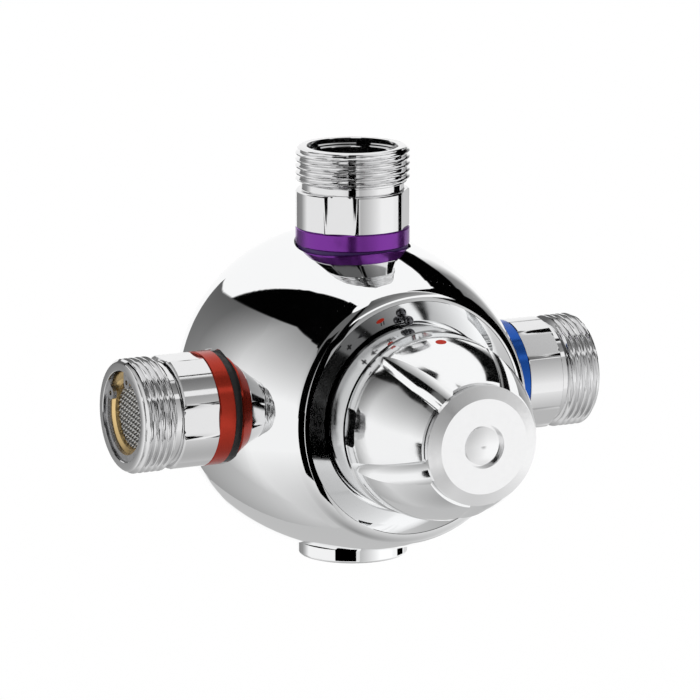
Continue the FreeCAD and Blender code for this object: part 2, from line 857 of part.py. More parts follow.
def make_wax_element():
    """Heat-sensitive capsule: body, flange seated in the shuttle and piston."""
    neck = capsule_flange_thickness + capsule_neck_height
    return turned([
        (0, -capsule_back), (capsule_radius - capsule_edge, -capsule_back),
        (capsule_radius, -capsule_back + capsule_edge), (capsule_radius, 0),
        (capsule_flange_radius, 0), (capsule_flange_radius, capsule_flange_thickness),
        (capsule_neck_radius, neck), (piston_radius, neck), (piston_radius, piston_end()),
        (0, piston_end())])


def make_shuttle():
    """Slide valve: ring with a web that holds the capsule, with holes for the mixed water."""
    half = shuttle_length / 2
    outer = sleeve_bore - shuttle_gap
    ring = tube(outer, outer - shuttle_wall, -half, half)
    web = tube(outer - shuttle_wall / 2, capsule_radius + slip_gap, -shuttle_web, 0)
    hole = rod(shuttle_hole_radius, -shuttle_web - overrun, overrun)
    hole.translate(Vector((outer + capsule_radius) / 2, 0, 0))
    return ring.fuse(web).cut(ringed(hole, shuttle_holes)).removeSplitter()


def make_return_spring():
    low = -cavity_back + sleeve_floor
    return coil(return_radius, return_wire, low, -shuttle_web, return_turns)


def cage_back():
    """Inner end of a non-return valve's cage."""
    return inlet_reach - inlet_seat_depth() - cage_setback - cage_length


def make_check_cage():
    """Cage of a non-return valve: seat ring, barrel and a guided hub on three spokes."""
    low, high = cage_back(), cage_back() + cage_length
    barrel = turned([
        (cage_radius - cage_wall, low), (cage_radius, low), (cage_radius, high),
        (seat_radius, high), (seat_radius, high - cage_seat),
        (cage_radius - cage_wall, high - cage_seat)])
    hub = tube(hub_outer, stem_radius + running_gap, low, low + hub_length)
    arm = box((hub_outer - spoke_bite, cage_radius - cage_wall + spoke_bite),
              (-spoke_width / 2, spoke_width / 2), (low, low + spoke_height))
    return barrel.fuse([hub] + ringed(arm, spoke_count)).removeSplitter()


def poppet_seat():
    """Height where the closed poppet meets its seat."""
    return cage_back() + cage_length - cage_seat


def make_poppet():
    """Valve disc with a stem that slides in the cage's hub."""
    top = poppet_seat() - poppet_gap
    back = top - poppet_thickness
    tail = cage_back() - stem_tail
    nose = seat_radius - poppet_nose_gap
    return turned([
        (0, tail), (stem_radius, tail), (stem_radius, back), (poppet_radius - poppet_edge, back),
        (poppet_radius, back + poppet_edge), (poppet_radius, top), (nose, top),
        dome(nose, top, top + poppet_nose_rise)])


def make_check_spring():
    low = cage_back() + spoke_height
    high = poppet_seat() - poppet_gap - poppet_thickness
    return coil(check_spring_radius, check_wire, low, high, check_turns)


def make_bottom_plug():
    """Flat plug with a rounded rim and a shank with a seal groove."""
    shank_end = plug_seat - plug_shank_length
    middle = plug_seat - plug_shank_length / 2
    groove = plug_seal_wire + seal_squeeze
    bend = plug_rim_round * (1 - math.sqrt(0.5))
    return turned([
        (0, shank_end), (plug_shank_radius - plug_lead, shank_end),
        (plug_shank_radius, shank_end + plug_lead), (plug_shank_radius, middle - groove),
        (plug_groove_floor, middle - groove), (plug_groove_floor, middle + groove),
        (plug_shank_radius, middle + groove), (plug_shank_radius, plug_seat),
        (plug_radius, plug_seat), (plug_radius, plug_reach - plug_rim_round),
        ((plug_radius - bend, plug_reach - bend), (plug_radius - plug_rim_round, plug_reach)),
        (0, plug_reach)])


def make_plug_seal():
    seal = ring_seal(plug_groove_floor + seal_squeeze + plug_seal_wire, plug_seal_wire)
    seal.translate(Vector(0, 0, plug_seat - plug_shank_length / 2))
    return seal


def make_spindle_seal():
    seal = ring_seal(spindle_neck + seal_squeeze + spindle_seal_wire, spindle_seal_wire)
    seal.translate(Vector(0, 0, spindle_seal_place))
    return seal


def save(name, shape):
    """Write one sub-part with the origin moved to the mixed outlet's end face."""
    placed = shape.copy()
    placed.translate(Vector(0, 0, -outlet_reach))
    placed.exportStep("parts/%s.step" % name)


def main():
    os.makedirs("parts", exist_ok=True)
    save("body", make_body())
    save("bezel", aimed(make_bezel(), FRONT))
    save("dial_ring", aimed(make_dial_ring(), FRONT))
    save("limit_peg", aimed(make_limit_peg(), FRONT))
    for name, direction, turn in (("hot", HOT, hot_flats_turn), ("cold", COLD, cold_flats_turn)):
        tail = make_tail(inlet_reach, inlet_seat_depth(), waterway_radius)
        save(name + "_fitting", aimed(spun(tail, turn), direction))
        save(name + "_ring", aimed(make_colour_ring(inlet_reach), direction))
        save(name + "_seal", aimed(make_seal(inlet_reach), direction))
        save(name + "_circlip", aimed(make_circlip(), direction))
        save(name + "_filter_rim", aimed(make_filter_rim(), direction))
        save(name + "_filter_mesh", aimed(make_filter_mesh(), direction))
        save(name + "_check_cage", aimed(make_check_cage(), direction))
        save(name + "_poppet", aimed(make_poppet(), direction))
        save(name + "_check_spring", aimed(make_check_spring(), direction))
    tail = make_tail(outlet_reach, outlet_ledge_depth, outlet_step_radius)
    save("mixed_fitting", aimed(spun(tail, mixed_flats_turn), UP))
    save("mixed_ring", aimed(make_colour_ring(outlet_reach), UP))
    save("mixed_seal", aimed(make_seal(outlet_reach), UP))
    save("bottom_plug", aimed(make_bottom_plug(), DOWN))
    save("plug_seal", aimed(make_plug_seal(), DOWN))
    save("knob", aimed(make_knob(), FRONT))
    save("knob_cap", aimed(make_knob_cap(), FRONT))
    save("centre_button", aimed(make_centre_button(), FRONT))
    save("knob_insert", aimed(make_knob_insert(), FRONT))
    save("knob_screw", aimed(make_knob_screw(), FRONT))
    save("spindle", aimed(make_spindle(), FRONT))
    save("spindle_seal", aimed(make_spindle_seal(), FRONT))
    save("gland_nut", aimed(make_gland_nut(), FRONT))
    save("cartridge_sleeve", aimed(make_sleeve(), FRONT))
    save("cartridge_seals", aimed(make_cartridge_seals(), FRONT))
    save("travel_nut", aimed(make_travel_nut(), FRONT))
    save("wax_element", aimed(make_wax_element(), FRONT))
    save("shuttle", aimed(make_shuttle(), FRONT))
    save("return_spring", aimed(make_return_spring(), FRONT))


main()
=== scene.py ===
"""Looks for the mixing valve: turned tails with real threads, woven strainers, springs, printed
marks, materials, studio light and the camera.

Lengths are named in millimetres and turned into metres where meshes are made. A local frame has
+Z along its piece's axis, out of the valve, and starts at the crossing of the port axes.
"""
import math

import bpy
import numpy as np
from mathutils import Matrix, Vector


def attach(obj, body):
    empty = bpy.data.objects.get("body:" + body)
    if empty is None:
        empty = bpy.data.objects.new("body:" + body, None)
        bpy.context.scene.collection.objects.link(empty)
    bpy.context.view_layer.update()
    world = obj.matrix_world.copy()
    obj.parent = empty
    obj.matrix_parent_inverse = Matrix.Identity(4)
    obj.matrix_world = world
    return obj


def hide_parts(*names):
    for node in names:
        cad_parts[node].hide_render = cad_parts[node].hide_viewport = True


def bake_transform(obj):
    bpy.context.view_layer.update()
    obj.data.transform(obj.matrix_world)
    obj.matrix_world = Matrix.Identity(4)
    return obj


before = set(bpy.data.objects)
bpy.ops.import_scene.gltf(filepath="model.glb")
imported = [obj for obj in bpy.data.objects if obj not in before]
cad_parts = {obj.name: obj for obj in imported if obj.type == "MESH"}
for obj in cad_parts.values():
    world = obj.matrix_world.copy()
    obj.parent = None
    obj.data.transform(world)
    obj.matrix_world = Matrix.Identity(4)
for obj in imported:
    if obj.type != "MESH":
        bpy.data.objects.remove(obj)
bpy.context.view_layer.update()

MM = 0.001
crossing = Vector((0, 0, -58.1))        # port crossing in the saved frame

# Local axes as columns: where a piece's own X, Y and Z point
UP = Matrix.Identity(3)
HOT = Matrix(((0, 0, -1), (0, 1, 0), (1, 0, 0)))
COLD = Matrix(((0, 0, 1), (0, 1, 0), (-1, 0, 0)))
FRONT = Matrix(((1, 0, 0), (0, 0, -1), (0, 1, 0)))

# Tails, as depths behind their end faces
inlet_reach = 59.0
outlet_reach = 58.1
segments = 240
thread_crest = 13.22
thread_pitch = 1.52
thread_depth = 0.85
thread_end = 8.4
thread_step = 0.12
thread_chamfer = 0.9
thread_flank = 1.25             # above 1 leaves flats at crest and root
thread_flat = 0.1
run_out_slope = 1.6
end_edge = 0.2
end_break = 0.06
edge_break = 0.12
relief_radius = 11.95
collar_radius = 13.2
collar_top = 9.9
collar_end = 18.7
collar_flat = 0.951 * collar_radius
collar_edge = ((0.0, 0.5), (0.1, 0.3), (0.4, 0.0))      # (depth, inset) of the outer edge
tail_radius = 10.0
tail_end = 30.4
mouth_radius = 10.5
groove_start = 0.5
groove_end = 1.4
groove_radius = 11.2
waterway_radius = 8.6
inlet_seat = 3.2
outlet_bore = 9.6
outlet_seat = 1.9

# Strainer cloth
cloth_radius = 10.3
cloth_depth = 3.05
wire_radius = 0.17
wire_pitch = 0.88
cloth_turn = 38.0
cloth_wire_sides = 6
cloth_steps = 4                 # between two crossings
wire_smooth_angle = 80.0

# Springs, as heights from the port crossing
spring_steps = 30                       # along each turn
wire_sides = 8
check_spring = (3.6, 0.6, 4, 36.6, 46.88)       # radius, wire, turns, fixed end, moving end
return_spring = (9.4, 1.1, 4, -20.0, -2.0)

# Dial cone and its marks
dial_inner = (22.35, 29.82)
dial_outer = (27.0, 31.5)
mark_lift = 0.03
dot_corners = 28

# Side of the knob: an arc, as (radius, height) of its middle
knob_arc_middle = (-16.146, 40.439)
knob_arc_radius = 37.389
knob_dot_angle = 94.2
knob_dot_height = 46.7
knob_dot_radius = 1.25


# Meshes
def make_object(name, points, faces, axes=None, smooth_angle=30.0):
    """Object from points in millimetres, in a local frame if axes are given."""
    mesh = bpy.data.meshes.new(name)
    if axes is not None:
        points = [axes @ Vector(p) + crossing for p in points]
    mesh.from_pydata([Vector(p) * MM for p in points], [], faces)
    mesh.validate()
    mesh.shade_smooth()
    mesh.set_sharp_from_angle(angle=math.radians(smooth_angle))
    obj = bpy.data.objects.new(name, mesh)
    bpy.context.scene.collection.objects.link(obj)
    return obj


def lathe(rows, reach):
    """Points and faces of a closed surface; each row is (depth, radii around the axis)."""
    angles = np.arange(segments) * (2 * math.pi / segments)
    points = []
    for depth, radii in rows:
        for angle, radius in zip(angles, np.broadcast_to(radii, segments)):
            points.append((radius * math.cos(angle), radius * math.sin(angle), reach - depth))
    faces = []
    count = len(rows)
    for i in range(count):
        low, high = i * segments, ((i + 1) % count) * segments
        for j in range(segments):
            k = (j + 1) % segments
            faces.append((low + j, low + k, high + k, high + j))
    return points, faces


def thread_radii(depth):
    """Rounded thread that runs out in a chamfer at each end."""
    angles = np.arange(segments) * (2 * math.pi / segments)
    phase = depth / thread_pitch + angles / (2 * math.pi)
    wave = np.abs(2 * (phase - np.floor(phase)) - 1)
    wave = 0.5 - 0.5 * np.cos(math.pi * np.clip(thread_flank * wave - thread_flat, 0, 1))
    radii = thread_crest - thread_depth * wave
    start = thread_crest - thread_chamfer + depth
    end = relief_radius + run_out_slope * (thread_end - depth)
    return np.minimum(radii, min(start, end))


def collar_radii(radius, turn):
    """Round collar with four flats."""
    degrees = np.arange(segments) * (360.0 / segments) - turn
    off = np.radians((degrees + 45.0) % 90.0 - 45.0)
    return np.minimum(radius, collar_flat / np.cos(off))


def make_tail(name, axes, reach, bore, seat, turn):
    """Threaded tail with relief, flatted collar, spigot and stepped mouth."""
    crest_start = thread_crest - thread_chamfer
    rows = [(tail_end, waterway_radius)]
    if bore > waterway_radius:
        rows += [(collar_end, waterway_radius), (collar_end, bore)]
    rows += [(seat + edge_break, bore), (seat, bore + edge_break), (seat, mouth_radius),
             (groove_end, mouth_radius), (groove_end, groove_radius),
             (groove_start, groove_radius), (groove_start, mouth_radius),
             (edge_break, mouth_radius), (0, mouth_radius + edge_break),
             (0, crest_start - end_edge), (end_break, crest_start - end_break)]
    depth = thread_step
    while depth < thread_end - thread_step / 6:
        rows.append((depth, thread_radii(depth)))
        depth += thread_step
    rows += [(thread_end, relief_radius), (collar_top - edge_break, relief_radius),
             (collar_top, relief_radius + edge_break)]
    for deeper, inset in collar_edge:
        rows.append((collar_top + deeper, collar_radii(collar_radius - inset, turn)))
    rows += [(collar_end - edge_break, collar_radii(collar_radius, turn)),
             (collar_end, collar_radii(collar_radius - edge_break, turn)),
             (collar_end, tail_radius), (tail_end, tail_radius)]
    points, faces = lathe(rows, reach)
    return make_object(name, points, faces, axes)


def tube_faces(first, steps, sides):
    """Faces of a closed tube whose rings of points start at first."""
    faces = [tuple(first + c for c in reversed(range(sides))),
             tuple(first + steps * sides + c for c in range(sides))]
    for s in range(steps):
        low, high = first + s * sides, first + (s + 1) * sides
        for c in range(sides):
            d = (c + 1) % sides
            faces.append((low + c, low + d, high + d, high + c))
    return faces


def make_spring(name, axes, radius, wire, turns, fixed, moving):
    """Compression spring of round wire about the local Z axis."""
    steps = turns * spring_steps
    low = fixed + wire / 2
    points = []
    for s in range(steps + 1):
        turn = 2 * math.pi * turns * s / steps
        out = Vector((math.cos(turn), math.sin(turn), 0))
        centre = out * radius + Vector((0, 0, low + (moving - fixed - wire) * s / steps))
        for c in range(wire_sides):
            a = 2 * math.pi * c / wire_sides
            ring = Vector((0, 0, math.cos(a))) + out * math.sin(a)
            points.append(centre + ring * wire / 2)
    return make_object(name, points, tube_faces(0, steps, wire_sides), axes,
                       wire_smooth_angle)


def make_cloth(name, axes):
    """Plain woven wire cloth, cut round, with each wire bent over and under the others."""
    points, faces = [], []
    height = inlet_reach - cloth_depth
    for family in (0, 1):
        turn = math.radians(cloth_turn + 90 * family)
        along = Vector((math.cos(turn), math.sin(turn), 0))
        across = Vector((-math.sin(turn), math.cos(turn), 0))
        half_count = int(cloth_radius / wire_pitch)
        for i in range(-half_count, half_count + 1):
            offset = i * wire_pitch
            half = math.sqrt(cloth_radius ** 2 - offset ** 2)
            steps = max(cloth_steps, int(2 * half / (wire_pitch / cloth_steps)))
            first = len(points)
            for s in range(steps + 1):
                place = -half + 2 * half * s / steps
                sign = 1 if (i + family) % 2 else -1
                rise = sign * wire_radius * math.cos(math.pi * place / wire_pitch)
                centre = along * place + across * offset + Vector((0, 0, height + rise))
                for c in range(cloth_wire_sides):
                    a = 2 * math.pi * c / cloth_wire_sides
                    ring = across * math.cos(a) + Vector((0, 0, math.sin(a)))
                    points.append(centre + ring * wire_radius)
            faces += tube_faces(first, steps, cloth_wire_sides)
    return make_object(name, points, faces, axes, wire_smooth_angle)


def dial_height(radius):
    """Height of the dial's cone at a radius."""
    share = (radius - dial_inner[0]) / (dial_outer[0] - dial_inner[0])
    return dial_inner[1] + share * (dial_outer[1] - dial_inner[1])


def dial_point(radius, angle, u, v, lift):
    """Point of a mark drawn at (u, v) millimetres from its middle, laid on the dial's cone."""
    turn = math.radians(angle)
    out = Vector((math.cos(turn), math.sin(turn)))
    side = Vector((-out.y, out.x))
    flat = out * (radius + v) + side * u
    return Vector((flat.x, flat.y, dial_height(flat.length) + lift))


def dial_mark(radius, angle, outlines, points, faces):
    """Thin raised print: each outline is a closed list of (u, v) points."""
    for outline in outlines:
        first = len(points)
        count = len(outline)
        for lift in (-mark_lift, mark_lift):
            for u, v in outline:
                points.append(dial_point(radius, angle, u, v, lift))
        faces.append(tuple(first + count + i for i in range(count)))
        faces.append(tuple(first + i for i in reversed(range(count))))
        for i in range(count):
            j = (i + 1) % count
            faces.append((first + i, first + j, first + count + j, first + count + i))


def disc_outline(half_u, half_v):
    """Closed list of points round an oval dot."""
    turns = [2 * math.pi * i / dot_corners for i in range(dot_corners)]
    return [(half_u * math.cos(t), half_v * math.sin(t)) for t in turns]


# Materials
def new_material(name, color, roughness, metallic=0.0, ior=1.5):
    material = bpy.data.materials.new(name)
    material.use_nodes = True
    shader = material.node_tree.nodes["Principled BSDF"]
    shader.inputs["Base Color"].default_value = (*color, 1)
    shader.inputs["Roughness"].default_value = roughness
    shader.inputs["Metallic"].default_value = metallic
    shader.inputs["IOR"].default_value = ior
    return material


def textured(material, scale, low, high, bump, bump_distance=0.00002):
    """Roughness that drifts between two values and a fine bump from the same noise."""
    tree = material.node_tree
    nodes, links = tree.nodes, tree.links
    shader = nodes["Principled BSDF"]
    coordinates = nodes.new("ShaderNodeTexCoord")
    noise = nodes.new("ShaderNodeTexNoise")
    noise.inputs["Scale"].default_value = scale
    noise.inputs["Detail"].default_value = 3
    spread = nodes.new("ShaderNodeMapRange")
    spread.inputs["From Min"].default_value = 0.35
    spread.inputs["From Max"].default_value = 0.65
    spread.inputs["To Min"].default_value = low
    spread.inputs["To Max"].default_value = high
    bumps = nodes.new("ShaderNodeBump")
    bumps.inputs["Strength"].default_value = bump
    bumps.inputs["Distance"].default_value = bump_distance
    links.new(coordinates.outputs["Object"], noise.inputs["Vector"])
    links.new(noise.outputs["Fac"], spread.inputs["Value"])
    links.new(spread.outputs["Result"], shader.inputs["Roughness"])
    links.new(noise.outputs["Fac"], bumps.inputs["Height"])
    links.new(bumps.outputs["Normal"], shader.inputs["Normal"])
    return material


def paint(node, material):
    """Give a CAD node one material."""
    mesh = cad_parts[node].data
    mesh.materials.clear()
    mesh.materials.append(material)


def dress(obj, material, body):
    """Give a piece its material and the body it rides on."""
    obj.data.materials.append(material)
    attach(obj, body)
    return obj


chrome = textured(new_material("plated_chrome", (0.92, 0.925, 0.93), 0.02, 1.0),
                  60.0, 0.015, 0.035, 0.0)
tail_chrome = textured(new_material("tail_chrome", (0.80, 0.80, 0.805), 0.07, 1.0),
                       300.0, 0.05, 0.09, 0.02)
knob_chrome = textured(new_material("knob_chrome", (0.92, 0.925, 0.93), 0.1, 1.0),
                       300.0, 0.08, 0.12, 0.0)
satin = textured(new_material("satin_chrome", (0.90, 0.90, 0.905), 0.16, 1.0),
                 900.0, 0.14, 0.2, 0.05)
button = textured(new_material("button_chrome", (0.86, 0.86, 0.865), 0.12, 1.0),
                  700.0, 0.10, 0.14, 0.0)
red_ring = textured(new_material("red_ring", (0.42, 0.032, 0.015), 0.2, 0.8),
                    400.0, 0.16, 0.24, 0.02)
blue_ring = textured(new_material("blue_ring", (0.012, 0.09, 0.42), 0.2, 0.8),
                     400.0, 0.16, 0.24, 0.02)
violet_ring = textured(new_material("violet_ring", (0.20, 0.035, 0.33), 0.2, 0.8),
                       400.0, 0.16, 0.24, 0.02)
violet_seal = textured(new_material("violet_seal", (0.05, 0.012, 0.12), 0.45),
                       600.0, 0.38, 0.54, 0.1)
rubber = textured(new_material("seal_rubber", (0.015, 0.015, 0.015), 0.5),
                  600.0, 0.42, 0.6, 0.1)
strainer_brass = textured(new_material("strainer_brass", (0.83, 0.60, 0.28), 0.3, 1.0),
                          300.0, 0.24, 0.4, 0.08)
cloth_steel = textured(new_material("cloth_steel", (0.72, 0.72, 0.71), 0.3, 1.0),
                       500.0, 0.22, 0.36, 0.05)
clip_steel = textured(new_material("clip_steel", (0.55, 0.55, 0.56), 0.25, 1.0),
                      500.0, 0.2, 0.32, 0.06)
spring_steel = textured(new_material("spring_steel", (0.56, 0.56, 0.58), 0.28, 1.0),
                        500.0, 0.22, 0.34, 0.06)
inner_brass = textured(new_material("inner_brass", (0.78, 0.60, 0.32), 0.3, 1.0),
                       300.0, 0.24, 0.38, 0.06)
copper = textured(new_material("capsule_copper", (0.80, 0.45, 0.30), 0.28, 1.0),
                  300.0, 0.24, 0.36, 0.06)
white_plastic = textured(new_material("poppet_plastic", (0.82, 0.81, 0.77), 0.4),
                         500.0, 0.34, 0.48, 0.05)
dark_plastic = textured(new_material("cage_plastic", (0.08, 0.085, 0.09), 0.4),
                        500.0, 0.34, 0.5, 0.05)
print_black = textured(new_material("print_black", (0.015, 0.015, 0.017), 0.35),
                       900.0, 0.3, 0.42, 0.03)
print_red = textured(new_material("print_red", (0.46, 0.03, 0.015), 0.5, ior=1.15),
                     900.0, 0.44, 0.56, 0.03)
peg_steel = textured(new_material("peg_steel", (0.16, 0.16, 0.17), 0.2, 1.0),
                     900.0, 0.18, 0.24, 0.0)

for node_names, node_material in (
        (("body", "bezel", "dial_ring", "bottom_plug"), chrome), (("limit_peg",), peg_steel),
        (("knob",), knob_chrome), (("knob_cap",), satin), (("centre_button",), button),
        (("hot_ring",), red_ring), (("cold_ring",), blue_ring), (("mixed_ring",), violet_ring),
        (("mixed_seal",), violet_seal),
        (("hot_seal", "cold_seal", "plug_seal", "spindle_seal", "cartridge_seals"), rubber),
        (("hot_filter_rim", "cold_filter_rim"), strainer_brass),
        (("hot_circlip", "cold_circlip"), clip_steel),
        (("knob_screw",), spring_steel), (("hot_poppet", "cold_poppet"), white_plastic),
        (("hot_check_cage", "cold_check_cage"), dark_plastic),
        (("wax_element",), copper),
        (("knob_insert", "spindle", "gland_nut", "cartridge_sleeve", "travel_nut", "shuttle"),
         inner_brass)):
    for node_name in node_names:
        paint(node_name, node_material)


# Pieces and their materials
for side, axes, turn in (("hot", HOT, 0.0), ("cold", COLD, 45.0)):
    tail = make_tail(side + "_tail", axes, inlet_reach, waterway_radius, inlet_seat, turn)
    dress(tail, tail_chrome, "valve_body")
    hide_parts(side + "_fitting")
    cloth = make_cloth(side + "_cloth", axes)
    dress(cloth, cloth_steel, "valve_body")
    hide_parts(side + "_filter_mesh")
tail = make_tail("mixed_tail", UP, outlet_reach, outlet_bore, outlet_seat, 50.0)
dress(tail, tail_chrome, "valve_body")
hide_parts("mixed_fitting")

# Springs between the body and the piece they push
for node, axes, sizes, body in (("hot_check_spring", HOT, check_spring, "hot_poppet_group"),
                                ("cold_check_spring", COLD, check_spring, "cold_poppet_group"),
                                ("return_spring", FRONT, return_spring, "mix_group")):
    spring = make_spring(node + "_wire", axes, *sizes)
    spring.data.materials.append(spring_steel)
    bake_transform(spring)
    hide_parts(node)

mark_points, mark_faces = [], []
plus = [(-0.75, -0.22), (0.75, -0.22), (0.75, 0.22), (-0.75, 0.22)]
plus_upright = [(v, u) for u, v in plus]
arrow = [(-0.3, 0.65), (0.0, 0.12), (-1.2, 0.12), (-1.2, -0.12), (0.0, -0.12), (-0.3, -0.65),
         (1.3, 0.0)]
minus = [(-0.7, -0.2), (0.7, -0.2), (0.7, 0.2), (-0.7, 0.2)]
tick = [(-0.12, -0.5), (0.12, -0.5), (0.12, 0.5), (-0.12, 0.5)]
second_tick = [(u + 0.7, v) for u, v in tick]
for radius, angle, outlines in ((26.4, 137.0, [minus]), (24.2, 132.5, [plus, plus_upright]),
                                (24.2, 123.0, [arrow]), (23.8, 108.4, [tick, second_tick])):
    dial_mark(radius, angle, outlines, mark_points, mark_faces)
marks = make_object("dial_marks", mark_points, mark_faces, FRONT)
dress(marks, print_black, "valve_body")

dot_points, dot_faces = [], []
dial_mark(24.72, 110.3, [disc_outline(1.1, 0.5)], dot_points, dot_faces)
dial_dot = make_object("dial_dot", dot_points, dot_faces, FRONT)
dress(dial_dot, print_red, "valve_body")

knob_dot_points, knob_dot_faces = [], []
for knob_lift in (-mark_lift, mark_lift):
    for u, v in disc_outline(knob_dot_radius, knob_dot_radius):
        rise = knob_dot_height + v
        sag = math.sqrt(knob_arc_radius ** 2 - (rise - knob_arc_middle[1]) ** 2)
        radius = knob_arc_middle[0] + sag + knob_lift
        angle = math.radians(knob_dot_angle) + u / radius
        knob_dot_points.append((radius * math.cos(angle), radius * math.sin(angle), rise))
knob_dot_faces.append(tuple(range(dot_corners)))
knob_dot_faces.append(tuple(reversed(range(dot_corners, 2 * dot_corners))))
for i in range(dot_corners):
    j = (i + 1) % dot_corners
    knob_dot_faces.append((j, i, dot_corners + i, dot_corners + j))
knob_dot = make_object("knob_dot", knob_dot_points, knob_dot_faces, FRONT)
dress(knob_dot, print_red, "knob_group")


# Stage, light and camera
floor_level = -260.0
floor_half = 3000.0
floor_color = 0.8

floor = make_object("floor", [
    (-floor_half, -floor_half, floor_level), (floor_half, -floor_half, floor_level),
    (floor_half, floor_half, floor_level), (-floor_half, floor_half, floor_level)],
    [(0, 1, 2, 3)])
floor_paint = new_material("floor_paint", (floor_color, floor_color, floor_color), 0.9)
floor_nodes, floor_links = floor_paint.node_tree.nodes, floor_paint.node_tree.links
light_path = floor_nodes.new("ShaderNodeLightPath")
lift = floor_nodes.new("ShaderNodeMath")
lift.operation = "MULTIPLY"
lift.inputs[1].default_value = 1 - floor_color
floor_links.new(light_path.outputs["Is Camera Ray"], lift.inputs[0])
floor_shader = floor_nodes["Principled BSDF"]
floor_shader.inputs["Specular IOR Level"].default_value = 0
floor_shader.inputs["Emission Color"].default_value = (1, 1, 1, 1)
floor_links.new(lift.outputs[0], floor_shader.inputs["Emission Strength"])
floor.data.materials.append(floor_paint)
floor.visible_glossy = False

# Narrow dark cards beside the valve, seen only in its reflections
card_paint = new_material("dark_card", (0.0, 0.0, 0.0), 1.0)
card_paint.node_tree.nodes["Principled BSDF"].inputs["Specular IOR Level"].default_value = 0


def make_card(name, middle, turn, half, low, high):
    """Upright card; turn is its angle from world X."""
    side = Vector((math.cos(math.radians(turn)), math.sin(math.radians(turn)), 0)) * half
    points = [Vector(middle) + side * sign + Vector((0, 0, height))
              for sign, height in ((-1, low), (1, low), (1, high), (-1, high))]
    card_object = make_object(name, points, [(0, 1, 2, 3)], UP)
    card_object.data.materials.append(card_paint)
    card_object.visible_camera = False
    card_object.visible_diffuse = False
    card_object.visible_shadow = False
    card_object.visible_transmission = False


make_card("near_card", (-42.0, -80.0, 0.0), -18.4, 12.6, -75.0, 62.0)
make_card("side_card", (-113.0, -100.0, 0.0), -53.4, 36.0, -110.0, -5.0)


class Sky:
    """Writes a brightness over directions as math nodes."""

    def __init__(self, tree):
        self.tree = tree
        self.direction = tree.nodes.new("ShaderNodeTexCoord").outputs["Generated"]
        split = tree.nodes.new("ShaderNodeSeparateXYZ")
        tree.links.new(self.direction, split.inputs[0])
        across, along, rise = split.outputs
        turn = self.math("ARCTAN2", across, self.math("MULTIPLY", along, -1.0))
        self.azimuth = self.math("MULTIPLY", turn, 180 / math.pi)
        tilt = self.math("ARCSINE", rise)
        self.height = self.math("MULTIPLY", tilt, 180 / math.pi)

    def math(self, operation, first, second=None):
        node = self.tree.nodes.new("ShaderNodeMath")
        node.operation = operation
        for socket, value in zip(node.inputs, (first, second)):
            if isinstance(value, (int, float)):
                socket.default_value = value
            elif value is not None:
                self.tree.links.new(value, socket)
        return node.outputs[0]

    def plus(self, first, second):
        return self.math("ADD", first, second)

    def minus(self, first, second):
        return self.math("SUBTRACT", first, second)

    def times(self, *factors):
        result = factors[0]
        for factor in factors[1:]:
            result = self.math("MULTIPLY", result, factor)
        return result

    def least(self, *values):
        result = values[0]
        for value in values[1:]:
            result = self.math("MINIMUM", result, value)
        return result

    def line(self, value, slope, start):
        return self.plus(self.times(value, slope), start)

    def ramp(self, value, start, span):
        """0 up to start, rising to 1 over the span; a negative span falls instead."""
        share = self.math("DIVIDE", self.minus(value, start), span)
        node = self.tree.nodes.new("ShaderNodeClamp")
        self.tree.links.new(share, node.inputs[0])
        return node.outputs[0]

    def band(self, value, low, high, soft):
        """1 between low and high."""
        return self.times(self.ramp(value, low, soft), self.ramp(value, high, -soft))

    def mix(self, first, second, share):
        """From the first to the second as share goes from 0 to 1."""
        return self.plus(first, self.times(self.minus(second, first), share))


world = bpy.data.worlds.new("studio")
bpy.context.scene.world = world
world.use_nodes = True
sky = Sky(world.node_tree)
azimuth, height = sky.azimuth, sky.height
# Brightness is written as it is displayed, and turned into light at the end
display_gamma = 2.2
ink = 0.03
paper = 1.0

# Angles are in degrees: azimuth from straight ahead towards the right, and height. A line is
# (slope, start), a ramp (start, span) and a band (low, high, softness)
left_end_ramp = (-12.0, 1.0)
left_foot_height = 42.5
left_foot_back_line = (0.55, 112.5)
left_foot_front_line = (-0.34, 11.9)
left_foot_soft = 1.0
left_near_line = (0.0098, 0.59)
left_near_most = 0.98
left_far_line = (0.0057, 0.37)
left_far_ramp = (-132.0, -20.0)
left_card_grey = 0.40
left_card_grey_ramp = (-84.0, -1.5)
left_card_front_ramp = (-27.0, 2.0)
left_card_back_ramp = (-158.5, 1.0)
left_card_top_ramp = (76.0, -1.0)

front_line = (-0.0076, 0.95)
front_least = 0.45
front_most = 1.04
front_dim_ramp = (34.0, -44.0)
front_dim_share = 0.28
arch_foot_ramp = (35.0, 0.8)
arch_top_ramp = (45.0, -1.0)

card_top_height = 66.0
card_top_bend = 66.0
card_top_near_line = (3.2, -177.2)
card_top_far_line = (-0.55, 110.0)
card_top_soft = -1.0
card_foot_line = (-1.25, 87.5)
card_foot_least = -16.0
card_foot_far = 17.0
card_foot_far_ramp = (104.0, 4.0)
card_foot_soft = 1.5
card_left_ramp = (38.0, 1.0)
card_right_ramp = (149.0, -3.0)
patch_band = (106.0, 142.0, 5.0)
patch_top_ramp = (19.0, -2.0)
patch_line = (-0.0127, 0.685)
right_paper_ramp = (62.0, 8.0)

strip_band = (-26.0, -1.0, 0.7)
strip_height_band = (17.0, 38.5, 1.5)
side_strip_band = (-72.0, -35.0, 1.5)
side_strip_height_band = (-6.0, 50.0, 1.5)

table_line = (0.0064, 1.15)
table_most = 0.97
table_ramp = (-27.0, -1.0)
behind_grey = 0.75
behind_ramp = (132.0, 6.0)
behind_height_ramp = (-26.0, -1.5)

